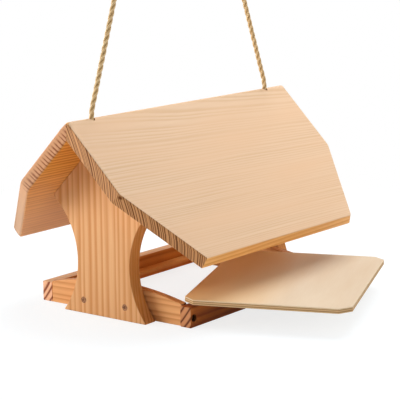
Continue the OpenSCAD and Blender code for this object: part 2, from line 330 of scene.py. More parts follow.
def strand(name, route, way):
    """One hanging strand: a stopper knot under the ridge, the taut rope, and a tied eye at the top."""
    middle = np.array([0.0, way * ROPE_Y, KNOT_Z])
    start = middle + ball_flat(KNOT_D) * Z
    points = np.array([(0.0, way * (ROPE_Y - inward), RIDGE_Z + up) for inward, up in route])
    path = smooth_path(np.vstack([start, points]))
    rope = rope_piece(f"rope_{name}_strand", [(path, X)], f"rope_{name}")

    # The stopper: the strand runs into a wound knot, and a cut tail hangs below it
    tail = middle + np.array([(1, 0, 2), (1.5, 0, -KNOT_D / 2), (2, way, -KNOT_D / 2 - TAIL_LEN)])
    stopper = rope_piece(f"rope_{name}_stopper", [
        (smooth_path([start, middle, middle - 5 * Z]), X), coil(middle, Z, KNOT_D), (smooth_path(tail), X)],
        f"rope_knot_{name}")

    # The eye: up a narrow neck, round a ring that opens towards the strand, and back into a knot with a short tail
    end = points[-1]
    up = (points[-1] - points[-2]) / np.linalg.norm(points[-1] - points[-2])
    out = np.cross(up, X)
    flat = ball_flat(EYE_KNOT_D)
    ring_r = (EYE_D + ROPE_D) / 2
    turn = np.radians(np.linspace(38, 322, 15))[:, None]
    loop = np.hstack([ring_r * np.sin(turn), flat + ring_r + ROPE_D / 2 - ring_r * np.cos(turn)])
    neck = np.array([(0, 0), (0.6, 4), (4, 9.5)])
    loop = np.vstack([neck, loop, neck[:0:-1] * (-1, 1)])
    loop = end + loop[:, :1] * out + loop[:, 1:] * up
    ball = end + flat * up
    tail = ball + np.array([2 * X, 6 * X - 2 * up, 9 * X - 8 * up])
    eye = rope_piece(f"rope_{name}_eye", [
        (smooth_path(loop), X), coil(ball, up, EYE_KNOT_D), (smooth_path(tail), out)], f"rope_eye_{name}")


strand("near", ROUTE_NEAR, -1)
strand("far", ROUTE_FAR, 1)


def larch(name, grain, across, centre, pith, ring, tones, contrast=0.8, sway=6.0, uneven=1.2, dive=0.0,
          lit_face=None, sapwood=None, painted_across=None, pin_knot=None, bored=()):
    """Planed larch: softwood, so wide pale spring wood and narrow dark summer wood, with a dull satin face.

    The rings are cylinders round the pith, a line along the grain, so a face shows their stripes and an end
    their arcs. grain and across are the board's directions, centre is a point of it, pith is across the grain
    from there, and ring is the mean width of a year's ring, all in millimetres. tones are spring wood, summer
    wood and the same two on end grain, and contrast is how far the summer wood darkens a long face. sway is how
    far the rings stray, in millimetres, and uneven how far their widths do, in rings. dive is how far the pith
    goes down per length, which makes the stripes run out. lit_face are the tones painted on the face at the
    centre's depth, standing in for the light and sheen on it: spring, summer and warmer patches; the stripes
    fade and come back over it. sapwood is the outer wood with no dark lines on the end: it gives the depth
    above which and the width beyond which it lies, and its tones on a face and on the end; the face tone is
    partly painted light, bounced onto that face. painted_across is a tone painted where the surface looks
    across the board, as painted shade or a painted highlight. pin_knot is the place of a dark pin knot on the
    end. bored are the places of screw holes, along and across the grain, whose walls are painted dark as shade.
    """
    material, tree, shader = new_material(name)
    axes = np.array([grain, across, np.cross(grain, across)])
    place = board_place(tree, axes, np.array(centre))
    length = add(tree, "SeparateXYZ", place, out=0)
    width = add(tree, "SeparateXYZ", place, out=1)
    depth = add(tree, "Math", add(tree, "SeparateXYZ", place, out=2), operation="ABSOLUTE")
    stray = lumps(tree, place, (240, 60, 60), 1.0)
    ripple = lumps(tree, place, (60, 9, 9), 1.0)
    cloud = lumps(tree, place, (130, 30, 30))
    fibre = lumps(tree, place, (32, 0.9, 0.9))
    streak = lumps(tree, place, (120, 4.5, 4.5), 1.0)

    # Rings: the distance from the pith, swayed, counted in years of uneven width, and shaded within each year
    dived = add(tree, "VectorMath", length, (0, 0, dive), place, operation="MULTIPLY_ADD")
    spoke = add(tree, "VectorMath", dived, (0, *pith), operation="SUBTRACT")
    flat_spoke = add(tree, "VectorMath", spoke, (0, 1, 1), operation="MULTIPLY")
    radius = add(tree, "VectorMath", flat_spoke, operation="LENGTH", out="Value")
    swayed = add(tree, "Math", stray, sway, radius, operation="MULTIPLY_ADD")
    rippled = add(tree, "Math", ripple, 0.08 * sway, swayed, operation="MULTIPLY_ADD")
    years = add(tree, "Math", rippled, ring, operation="DIVIDE")
    season = add(tree, "TexNoise", sockets={"W": years, "Scale": 0.37, "Detail": 2.0}, noise_dimensions="1D")
    uneven_years = add(tree, "Math", season, uneven, years, operation="MULTIPLY_ADD")
    phase = add(tree, "Math", uneven_years, operation="FRACT")
    summer = add(tree, "ValToRGB", phase, stops=[
        (0.0, 0.50), (0.10, 0.08), (0.28, 0.05), (0.50, 0.35), (0.70, 0.75), (0.88, 1.0), (1.0, 0.50)])

    # A long face: stripes, fine fibres, streaks and clouds
    spring_tone, summer_tone, end_spring, end_summer = tones
    stripe = add(tree, "Math", summer, contrast, operation="MULTIPLY")
    fibred = add(tree, "Math", fibre, 0.30, stripe, operation="MULTIPLY_ADD")
    streaked = add(tree, "Math", streak, 0.55, fibred, operation="MULTIPLY_ADD")
    clouded = add(tree, "Math", cloud, 0.35, streaked, operation="MULTIPLY_ADD")
    shade = add(tree, "Math", clouded, 0.52, operation="SUBTRACT", use_clamp=True)
    face = add(tree, "Mix", shade, data_type="RGBA", out=COLOUR_OUT,
               sockets={COLOUR_A: linear(spring_tone), COLOUR_B: linear(summer_tone)})
    # Sapwood beyond its width: a paler face tone, partly the wood's own and partly painted light bounced up onto
    # the face
    if sapwood:
        outer = add(tree, "MapRange", width, sapwood[1] - 40, sapwood[1] + 60, 0.0, 0.6)
        face = add(tree, "Mix", outer, data_type="RGBA", out=COLOUR_OUT,
                   sockets={COLOUR_A: face, COLOUR_B: linear(sapwood[2])})

    # Painted light on the outer face at the centre's depth: its own tones stand in for the light and sheen it
    # gets, and its stripes fade in patches
    if lit_face:
        patch = lumps(tree, place, (320, 45, 45), 1.0)
        fading = add(tree, "MapRange", patch, 0.35, 0.65, 1.4, 0.4)
        faded = add(tree, "Math", shade, fading, operation="MULTIPLY")
        pale = add(tree, "Mix", faded, data_type="RGBA", out=COLOUR_OUT,
                   sockets={COLOUR_A: linear(lit_face[0]), COLOUR_B: linear(lit_face[1])})
        warmth = add(tree, "MapRange", patch, 0.30, 0.75, 0.0, 0.8)
        pale = add(tree, "Mix", warmth, data_type="RGBA", out=COLOUR_OUT,
                   sockets={COLOUR_A: pale, COLOUR_B: linear(lit_face[2])})
        lit_face_mask = add(tree, "MapRange", depth, 0.3, 1.5, 1.0, 0.0)
        face = add(tree, "Mix", lit_face_mask, data_type="RGBA", out=COLOUR_OUT,
                   sockets={COLOUR_A: face, COLOUR_B: pale})

    # Painted light where the surface looks across the board: a tone of its own, as painted shade or a painted
    # highlight
    normal = add(tree, "TexCoord", out="Normal")
    if painted_across:
        sideways = add(tree, "VectorMath", normal, tuple(across), operation="DOT_PRODUCT", out="Value")
        painted_across_share = add(tree, "MapRange", add(tree, "Math", sideways, operation="ABSOLUTE"), 0.5, 0.9, 0.0, 0.5)
        face = add(tree, "Mix", painted_across_share, data_type="RGBA", out=COLOUR_OUT,
                   sockets={COLOUR_A: face, COLOUR_B: linear(painted_across)})

    # End grain, where the surface looks along the grain: narrow dark lines
    late = add(tree, "ValToRGB", phase, stops=[
        (0.0, 0.7), (0.09, 0.12), (0.30, 0.0), (0.58, 0.12), (0.74, 0.80), (0.90, 1.0), (1.0, 0.7)])
    if sapwood:
        late = add(tree, "Math", late, add(tree, "MapRange", depth, sapwood[0] - 3, sapwood[0] + 3),
                   operation="MULTIPLY")
        late = add(tree, "Math", late, add(tree, "MapRange", width, sapwood[1] - 5, sapwood[1] + 5, 1.0, 0.0),
                   operation="MULTIPLY")
    if pin_knot:
        on_end = add(tree, "VectorMath", place, (0, 1, 1), operation="MULTIPLY")
        gap = add(tree, "VectorMath", on_end, (0, *pin_knot), operation="DISTANCE", out="Value")
        late = add(tree, "Math", late, add(tree, "MapRange", gap, 1.2, 3.4, 0.95, 0.0), operation="MAXIMUM")
    end = add(tree, "Mix", late, data_type="RGBA", out=COLOUR_OUT,
              sockets={COLOUR_A: linear(end_spring), COLOUR_B: linear(end_summer)})
    if sapwood:
        end = add(tree, "Mix", outer, data_type="RGBA", out=COLOUR_OUT,
                  sockets={COLOUR_A: end, COLOUR_B: linear(sapwood[3])})
    facing = add(tree, "VectorMath", normal, tuple(grain), operation="DOT_PRODUCT", out="Value")
    is_end = add(tree, "MapRange", add(tree, "Math", facing, operation="ABSOLUTE"), 0.45, 0.80)
    colour = add(tree, "Mix", is_end, data_type="RGBA", out=COLOUR_OUT,
                 sockets={COLOUR_A: face, COLOUR_B: end})
    # Painted shade: the screw holes' walls and a thin rim round them are darkened, for the shade in the recesses
    for spot in bored:
        on_face = add(tree, "VectorMath", place, (1, 1, 0), operation="MULTIPLY")
        gap = add(tree, "VectorMath", on_face, (*spot, 0), operation="DISTANCE", out="Value")
        hole_shade = add(tree, "MapRange", gap, RAIL_HOLE_R + 0.1, RAIL_HOLE_R + 0.5, 1.0, 0.0)
        colour = add(tree, "Mix", hole_shade, data_type="RGBA", out=COLOUR_OUT,
                     sockets={COLOUR_A: colour, COLOUR_B: linear("#6a3c1a")})
    tree.links.new(colour, shader.inputs["Base Color"])

    # Summer wood and fibres stand out a little from the planed face
    height = add(tree, "Math", summer, 0.5, fibre, operation="MULTIPLY_ADD")
    bump = add(tree, "Bump", sockets={"Height": height, "Strength": 0.25, "Distance": 0.15 * MM})
    tree.links.new(bump, shader.inputs["Normal"])
    tree.links.new(add(tree, "MapRange", fibre, 0.0, 1.0, 0.48, 0.68), shader.inputs["Roughness"])
    shader.inputs["Specular IOR Level"].default_value = 0.15
    return material


# Tones of the boards: spring wood, summer wood, and both on end grain. The left rail's are saturated and the
# right rail's darkened, partly their own colour and partly painted shade: warm shade inside the tray, and shade
# under the floor
ROOF_TONES = ("#f8c07a", "#e09a4c", "#ca9260", "#5c2c06")
LEFT_ROOF_TONES = ("#e6a450", "#ba6e20", "#c48e64", "#7c3e18")
GABLE_TONES = ("#dcaa78", "#bc7a3e", "#c88c50", "#7a4820")
RAIL_TONES = ("#e6aa70", "#ba743a", "#dca276", "#6e3814")
LEFT_RAIL_TONES = ("#eea858", "#c87a32", "#ecb48c", "#7a2f0c")
LEDGE_TONES = ("#ffc87c", "#de8238", "#dca276", "#6e3814")
RIGHT_RAIL_TONES = ("#bc6a28", "#8e420e", "#cc8c5c", "#5a230a")

# Outer faces painted for the light on them: the right roof's paler, a painted highlight and sheen; the left
# roof's darker, offsetting its stronger lamps; the left rail's calmer than the tones of its shaded inside. Each
# gives spring wood, summer wood and warmer patches
ROOF_LIT_FACE_TONES = ("#eccdae", "#e0bb95", "#eabf96")
LEFT_ROOF_LIT_FACE_TONES = ("#c6ac90", "#bd9d7c", "#c4a07e")
LEFT_RAIL_LIT_FACE_TONES = ("#d9ab78", "#ba8048", "#cf9c66")

# Tones painted on faces that look across the board: painted shade on the gables' side edges, and a painted
# highlight on the left rail's top. The left roof board's sapwood: its depth, its width, and its tones; its face
# tone is partly painted light, bounced up from the floor onto the underside
GABLE_EDGE_SHADE_TONE = "#c57e1f"
LEFT_RAIL_TOP_HIGHLIGHT_TONE = "#ffe2bc"
LEFT_ROOF_SAPWOOD = (5.5, 106, "#f8c498", "#b0967e")

RIGHT_SLOPE = np.array([math.cos(ROOF_PITCH), 0.0, -math.sin(ROOF_PITCH)])
LEFT_SLOPE = RIGHT_SLOPE * (-1, 1, 1)
RIDGE = (0.0, 0.0, RIDGE_Z)

# The figure of the left rail is counted from its outer face, and from this far along it
LEFT_RAIL_SHIFT = 40

roof_right_wood = larch("larch_roof_right", Y, RIGHT_SLOPE, RIDGE, (-36, 153), 2.4, ROOF_TONES, sway=4.0,
                        uneven=1.9, dive=0.03, lit_face=ROOF_LIT_FACE_TONES, pin_knot=(107, 3.5))
roof_left_wood = larch("larch_roof_left", Y, LEFT_SLOPE, RIDGE, (330, -60), 5.2, LEFT_ROOF_TONES, contrast=0.85,
                       lit_face=LEFT_ROOF_LIT_FACE_TONES, sapwood=LEFT_ROOF_SAPWOOD)
gable_near_wood = larch("larch_gable_near", Z, X, (0, -155.5, 0), (-430, -670), 4.5, GABLE_TONES, contrast=0.68,
                        sway=3.0, uneven=1.4, painted_across=GABLE_EDGE_SHADE_TONE)
gable_far_wood = larch("larch_gable_far", Z, X, (0, 155.5, 0), (330, -560), 4.2, GABLE_TONES, contrast=0.55,
                       sway=3.0, uneven=0.7, painted_across=GABLE_EDGE_SHADE_TONE)
end_near_wood = larch("larch_end_rail_near", X, Z, (0, -137.5, RAIL_MID_Z), (-300, -140), 6.4, RAIL_TONES,
                      contrast=0.65)
end_far_wood = larch("larch_end_rail_far", X, Z, (60, 137.5, RAIL_MID_Z), (-94, -140), 4.2, RAIL_TONES)
side_right_wood = larch("larch_side_rail_right", Y, Z, (104.5, 0, RAIL_MID_Z), (95, -126), 6.6,
                        RIGHT_RAIL_TONES, contrast=0.9,
                        bored=[(y, RAIL_SCREW_Z - RAIL_MID_Z) for y in (-RAIL_SCREW_Y, RAIL_SCREW_Y)])
side_left_wood = larch("larch_side_rail_left", Y, Z, (-112, LEFT_RAIL_SHIFT, RAIL_MID_Z), (95, -118.5), 7.0,
                       LEFT_RAIL_TONES, contrast=0.9, lit_face=LEFT_RAIL_LIT_FACE_TONES, painted_across=LEFT_RAIL_TOP_HIGHLIGHT_TONE,
                       bored=[(y - LEFT_RAIL_SHIFT, RAIL_SCREW_Z - RAIL_MID_Z)
                              for y in (-RAIL_SCREW_Y, RAIL_SCREW_Y)])
ledge_wood = larch("larch_ledge_strips", Y, Z, (0, 80, 4), (-909, 0), 18.0, LEDGE_TONES, contrast=0.9, sway=2.0,
                   uneven=0.3)


def even_normals(piece):
    """Keeps flat faces flat and round edges round: sharp edges stay, and large faces weigh most."""
    piece.data.set_sharp_from_angle(angle=math.radians(40))
    modifier = piece.modifiers.new("even_normals", "WEIGHTED_NORMAL")
    modifier.keep_sharp = True


def soften(outline, radius, steps=3, least=math.radians(20)):
    """Rounds the corners of a closed outline that turn by more than `least`, each to an arc."""
    ahead = np.roll(outline, -1, 0) - outline
    ahead = ahead / np.linalg.norm(ahead, axis=1, keepdims=True)
    behind = np.roll(ahead, 1, 0)
    turn = np.arctan2(behind[:, 0] * ahead[:, 1] - behind[:, 1] * ahead[:, 0], (behind * ahead).sum(1))
    corner = np.abs(turn) > least
    reach = radius * np.tan(np.abs(turn) / 2)
    inward = np.sign(turn)[:, None] * np.column_stack([-behind[:, 1], behind[:, 0]])
    centre = outline - behind * reach[:, None] + radius * inward
    angle = turn[:, None] * np.linspace(0, 1, steps + 1)
    c, s = np.cos(angle), np.sin(angle)
    spoke = np.stack([inward[:, :1] * c - inward[:, 1:] * s, inward[:, :1] * s + inward[:, 1:] * c], -1)
    arc = centre[:, None] - radius * spoke
    arc[~corner, 0] = outline[~corner]
    keep = np.ones(arc.shape[:2], bool)
    keep[~corner, 1:] = False
    return arc[keep]


def mitres(outline):
    """For each point of a counterclockwise outline, the outward step that moves both its sides by one."""
    along = np.roll(outline, -1, 0) - outline
    out = np.column_stack([along[:, 1], -along[:, 0]]) / np.linalg.norm(along, axis=1, keepdims=True)
    last = np.roll(out, 1, 0)
    return (out + last) / (1 + (out * last).sum(1, keepdims=True))


def quarter_round(ease):
    """Inset and rise of a quarter round of that radius, from the face to the side."""
    turn = np.linspace(0, np.pi / 2, EASE_STEPS + 1)
    return ease * (1 - np.sin(turn)), ease * (1 - np.cos(turn))


def board(name, outline, depth, ease, place, material, node, body="table"):
    """A board: a counterclockwise outline carried from face to face, drawn in by a quarter round at both.

    place takes the two coordinates of the outline and the height above the first face, and gives x, y and z.
    The faces are closed by quads between points counted from the outline's two ends, so a waisted outline is
    symmetric and starts beside its axis.
    """
    outline = soften(np.asarray(outline, float), ease)
    inset, rise = quarter_round(ease)
    insets = np.concatenate([inset, inset[::-1]])
    heights = np.concatenate([rise, depth - rise[::-1]])
    rings = outline[None] - insets[:, None, None] * mitres(outline)[None]
    height = np.broadcast_to(heights[:, None], rings.shape[:2])
    points = np.stack(np.broadcast_arrays(*place(rings[..., 0], rings[..., 1], height)), -1)
    rows, columns = rings.shape[:2]
    i = np.arange(columns // 2 - 1)
    cap = np.column_stack([i, i + 1, columns - 2 - i, columns - 1 - i])
    faces = np.vstack([strips(rows, columns), cap[:, ::-1], cap + (rows - 1) * columns])
    return make_piece(name, points, faces.tolist(), material, body, node)


def bore(piece, start, end, start_r, end_r):
    """Cuts a round hole or a cone out of a piece, between two points in millimetres, and applies the cut."""
    start, end = np.array(start, float), np.array(end, float)
    way = (end - start) / np.linalg.norm(end - start)
    side = np.cross(way, np.roll(np.abs(way), 1))
    side = side / np.linalg.norm(side)
    angle = np.linspace(0, 2 * np.pi, BORE_POINTS, endpoint=False)[:, None]
    spoke = np.cos(angle) * side + np.sin(angle) * np.cross(way, side)
    rings = np.stack([start + start_r * spoke, end + end_r * spoke])
    first = np.arange(len(angle))
    mesh = bpy.data.meshes.new("cutter")
    mesh.from_pydata((rings.reshape(-1, 3) * MM).tolist(), [],
                     strips(2, len(angle)).tolist() + [first[::-1].tolist(), (first + len(angle)).tolist()])
    cutter = bpy.data.objects.new("cutter", mesh)
    bpy.context.scene.collection.objects.link(cutter)
    cut = piece.modifiers.new("bore", "BOOLEAN")
    cut.operation = "DIFFERENCE"
    cut.solver = "EXACT"
    cut.object = cutter
    depsgraph = bpy.context.evaluated_depsgraph_get()
    done = bpy.data.meshes.new_from_object(piece.evaluated_get(depsgraph))
    piece.modifiers.clear()
    piece.data = done
    bpy.data.objects.remove(cutter)


def roof_board(name, side, material, node, ease, eave_ease, upper_lean=0.0, lower_lean=0.0, corner=0.0,
               far_lean=0.0, far_out=0.0, far_round=1.0, skew=(0.0, 0.0)):
    """One roof board, for side 1 the right one: its cross-section carried along the ridge.

    The section runs from the round ridge down the slope, round the eave and back below to the mitre. A section
    point at a distance s down the slope ends at half the board's length there, which narrows below the corner
    cut. At both ends the section is drawn in by a quarter round, and its eave further, which rounds the eave's
    corners. At the near end the ridge is drawn in by a longer quarter ellipse. At the rope holes the mitre edge
    steps back on a half circle.

    ease and eave_ease are the rounds of the ends and the eave. upper_lean and lower_lean are how far the eave's
    edges lie outside a square cut. corner is how much further the eave is drawn in at the ends, as a share of
    ease. At the far end, far_lean is how far the eave's lower edge reaches past the upper one, far_out how much
    further the eave lies down the slope, and far_round how many times rounder its corner is. skew is how far the
    near end stands out at the ridge and at the eave.
    """
    p = ROOF_PITCH
    round_z = RIDGE_Z - RIDGE_ROUND / math.cos(p)

    # Section points past the ridge: the cut's start above, the two rounds of the eave, and the cut's start below
    top, foot = ROOF_W + upper_lean, ROOF_W + lower_lean
    slab = soften(np.array([(0, 0), (top, 0), (foot, ROOF_T), (0, ROOF_T)]), eave_ease, EASE_STEPS)
    eave = slab[EASE_STEPS + 1:-EASE_STEPS - 1]
    cut = np.array([CUT_START - ease, CUT_START + ease])
    square = math.atan2(ROOF_T, foot - top)
    turn = [np.linspace(0, square, EASE_STEPS + 1), np.linspace(square, np.pi, EASE_STEPS + 1)]
    s = np.concatenate([cut, eave[:, 0], cut[::-1]])
    depth = np.concatenate([[0, 0], eave[:, 1], [ROOF_T, ROOF_T]])
    lean = np.concatenate([[0, 0], *turn, [np.pi, np.pi]]) + p
    at_eave = np.concatenate([[0, 0], np.full(len(eave), corner), [0, 0]])
    slope_x = s * math.cos(p) - depth * math.sin(p)
    slope_z = RIDGE_Z - s * math.sin(p) - depth * math.cos(p)

    # Rows along the ridge: an eased end, a rope hole, the middle, a rope hole and an eased end
    inset, rise = quarter_round(ease)
    hole_turn = np.linspace(-np.pi / 2, np.pi / 2, ROPE_HOLE_POINTS)
    hole_y = ROPE_Y + ROPE_HOLE_D / 2 * np.sin(hole_turn)
    hole_x = ROPE_HOLE_D / 2 * np.cos(hole_turn)
    row_y = np.concatenate([-hole_y[::-1], [0], hole_y])[:, None]
    still = np.zeros(len(inset))
    notch = np.concatenate([still, hole_x, [0], hole_x, still])[:, None]
    insets = np.concatenate([inset, np.zeros(len(row_y)), inset[::-1]])[:, None]

    # The ridge's own points slide out to the notch; the section's last point is the inner corner of the mitre
    ridge_share = np.array([0, 0.09, 0.18, 0.27, 0.36, 1])
    ridge_x = notch + (2 * RIDGE_ROUND - notch) * ridge_share
    ridge_lean = np.arcsin(np.clip(ridge_x / RIDGE_ROUND, 0, math.sin(p)))
    on_round = round_z + RIDGE_ROUND * np.cos(ridge_lean)
    ridge_z = np.where(ridge_x < RIDGE_ROUND * math.sin(p), on_round, RIDGE_Z - ridge_x * math.tan(p))

    # The ridge's long round is at the near end only. The eave is drawn in at its corners and widens to the far end
    near = np.arange(len(insets))[:, None] < len(inset)
    far = near[::-1]
    share = np.concatenate([still, 0.5 + row_y[:, 0] / ROOF_LEN, still + 1])[:, None]
    drawn = at_eave * (insets * np.where(far, far_round, 1) - far_out * share)
    x = np.hstack([ridge_x - insets * np.sin(ridge_lean),
                   slope_x - insets * np.sin(lean) - drawn * math.cos(p), notch])
    long, high = (np.where(near, np.full(len(ridge_share), size / ease), 1) for size in RIDGE_CORNER)
    long[:, -1] = high[:, -1] = 1
    z = np.hstack([ridge_z - insets * high * np.cos(ridge_lean),
                   slope_z - insets * np.cos(lean) + drawn * math.sin(p),
                   UNDER_RIDGE_Z - notch * math.tan(p) + insets / math.cos(p)])

    # Half the board's length at each section point, and each row's place on it
    all_s = np.concatenate([ridge_x[0] / math.cos(p), s, [ROOF_T * math.tan(p)]])
    taper = (ROOF_LEN - EAVE_LEN) / 2 / (ROOF_W - CUT_START)
    half = np.interp(all_s, [CUT_START - ease, CUT_START + ease, ROOF_W],
                     [ROOF_LEN / 2, ROOF_LEN / 2 - ease * taper, EAVE_LEN / 2])
    below_ridge = np.ones((len(rise), len(half) - len(ridge_share)))
    near_rise = rise[:, None] * np.hstack([long[:len(rise)], below_ridge])
    far_half = half + far_lean * np.r_[np.zeros(len(ridge_share)), (at_eave > 0) * depth / ROOF_T, 0]
    far_rise = rise[::-1, None] * np.r_[np.ones(len(ridge_share)), np.where(at_eave > 0, far_round, 1), 1]
    far_rise[:, len(ridge_share):-1] -= taper * drawn[-len(rise):]
    skewed = half + np.interp(all_s, [0, ROOF_W], skew)
    y = np.vstack([near_rise - skewed, row_y * half / (ROOF_LEN / 2), far_half - far_rise])
    points = np.stack([side * x, y, z], -1)

    rows, columns = x.shape
    kink = len(ridge_share)
    upper = np.r_[np.arange(kink + 1), columns - 2, columns - 1]
    middle = np.array([kink, kink + 1, columns - 3, columns - 2])
    lower = np.arange(kink + 1, columns - 2)
    faces = strips(rows, columns).tolist()
    for cap in (upper, middle, lower):
        faces += [cap[::-1].tolist(), (cap + (rows - 1) * columns).tolist()]
    if side > 0:
        faces = [face[::-1] for face in faces]
    even_normals(make_piece(name, points, faces, material, "table", node))


roof_board("roof_right", 1, roof_right_wood, "roof_board_right", ease=1.3, eave_ease=1.3, upper_lean=-1.6,
           lower_lean=2.0, corner=1.0, far_lean=13.0, far_out=1.8, far_round=3.5, skew=(3.2, -1.4))
roof_board("roof_left", -1, roof_left_wood, "roof_board_left", ease=2.6, eave_ease=5.0, skew=(3.2, 1.4))


def upright(node):
    """Places an outline upright across one end of the tray, with its first face on the inside."""
    low, high = span(node)
    inward = -math.copysign(1.0, low[1])
    inside = high[1] if inward > 0 else low[1]
    return lambda a, b, h: (inward * a, inside - inward * h, b)


def gable(name, material, node):
    """A waisted gable: a straight foot, an arc up each side that touches the waist's width, and roof slopes.

    The arc runs from the foot's corner to just below the shoulder, so the waist's height solves a quadratic.
    """
    low, high = span(node)
    shoulder, apex = high[0], high[2]
    foot_out = (FOOT_W - WAIST_W) / 2
    shoulder_out = shoulder - WAIST_W / 2
    shoulder_z = apex - shoulder * math.tan(ROOF_PITCH)
    arc_top = shoulder_z - SHOULDER_EDGE
    bend = shoulder_out - foot_out
    waist_z = max(np.roots([bend, 2 * foot_out * arc_top, -foot_out * (arc_top ** 2 + shoulder_out * bend)]))
    waist_r = (foot_out ** 2 + waist_z ** 2) / (2 * foot_out)
    turn = np.linspace(math.asin(-waist_z / waist_r), math.asin((arc_top - waist_z) / waist_r),
                       GABLE_ARC_POINTS)
    right = np.column_stack([WAIST_W / 2 + waist_r * (1 - np.cos(turn)), waist_z + waist_r * np.sin(turn)])
    left = right[::-1] * (-1, 1)
    outline = np.vstack([right, [(shoulder, shoulder_z), (0, apex), (-shoulder, shoulder_z)], left])
    return board(name, outline, high[1] - low[1], GABLE_EASE, upright(node), material, node)


def sink_gable_screws(piece, node, face_y):
    """Cuts the screws' countersinks into a gable's outer face, as cones that start proud of it."""
    low, high = span(node)
    z = (low[2] + high[2]) / 2
    head_r = SCREW_HEAD_D / 2 + SCREW_HEAD_GAP
    proud, cone = 0.5, 1.9
    inward = -math.copysign(1.0, face_y)
    for x in (low[0] + SCREW_HEAD_D / 2, high[0] - SCREW_HEAD_D / 2):
        outer, inner = (x, face_y - inward * proud, z), (x, face_y + inward * cone, z)
        bore(piece, outer, inner, head_r + proud, head_r - cone)


near_gable = gable("gable_front", gable_near_wood, "gable_near")
far_gable = gable("gable_back", gable_far_wood, "gable_far")
sink_gable_screws(near_gable, "gable_screws_near", span("gable_near")[0][1])
sink_gable_screws(far_gable, "gable_screws_far", span("gable_far")[1][1])
even_normals(near_gable)
even_normals(far_gable)


def end_rail(name, material, node):
    """An end rail: a bar whose top edge is one shallow arc.

    Its outer face runs back evenly from left to right, which leaves a narrow dark joint to the gable.
    """
    low, high = span(node)
    half, crown = high[0], high[2]
    depth = high[1] - low[1]
    stand = upright(node)

    def place(a, b, h):
        gap = np.interp(stand(a, b, h)[0], [-half, half], END_RAIL_GAP)
        return stand(a, b, h * (1 - gap / depth))

    arch_r = (half ** 2 + ARCH_RISE ** 2) / (2 * ARCH_RISE)
    turn = np.linspace(1, -1, RAIL_ARCH_POINTS) * math.asin(half / arch_r)
    arch = np.column_stack([arch_r * np.sin(turn), crown - arch_r * (1 - np.cos(turn))])
    outline = np.vstack([[(-half, 0), (half, 0)], arch])
    return board(name, outline, depth, RAIL_EASE, place, material, node)


even_normals(end_rail("rail_front", end_near_wood, "end_rail_near"))
even_normals(end_rail("rail_back", end_far_wood, "end_rail_far"))


def straight_rail(name, material, node):
    """A straight bar along the ridge's direction."""
    low, high = span(node)
    outline = [(low[1], low[2]), (high[1], low[2]), (high[1], high[2]), (low[1], high[2])]
    return board(name, outline, high[0] - low[0], RAIL_EASE, lambda a, b, h: (low[0] + h, a, b), material, node)


def sink_rail_screws(rail, node, face_x):
    """Bores the screws' round recesses into a side rail, from its outer face down to the screws' heads."""
    low, high = span(node)
    head_x = high[0] if face_x > 0 else low[0]
    z = (low[2] + high[2]) / 2
    for y in (low[1] + SCREW_HEAD_D / 2, high[1] - SCREW_HEAD_D / 2):
        bore(rail, (face_x + math.copysign(1.0, face_x), y, z), (head_x, y, z), RAIL_HOLE_R, RAIL_HOLE_R)


right_rail = straight_rail("rail_right", side_right_wood, "side_rail_right")
left_rail = straight_rail("rail_left", side_left_wood, "side_rail_left")
sink_rail_screws(right_rail, "rail_screws_right", span("side_rail_right")[1][0])
sink_rail_screws(left_rail, "rail_screws_left", span("side_rail_left")[0][0])
even_normals(right_rail)
even_normals(left_rail)
even_normals(straight_rail("ledge_right", ledge_wood, "ledge_strip_right"))
even_normals(straight_rail("ledge_left", ledge_wood, "ledge_strip_left"))


def floor_frame():
    """The floor's directions along, across and up, tilted a little about its near edge, and its lower middle."""
    low, high = span("floor_plate")
    level = np.array([-math.sin(FLOOR_TURN), math.cos(FLOOR_TURN), 0.0])
    along = math.cos(FLOOR_TILT) * level + math.sin(FLOOR_TILT) * Z
    up = math.cos(FLOOR_TILT) * Z - math.sin(FLOOR_TILT) * level
    middle = np.array([*(low + high)[:2] / 2, low[2] + FLOOR_LEN / 2 * math.sin(FLOOR_TILT)])
    return along, np.cross(along, up), up, middle


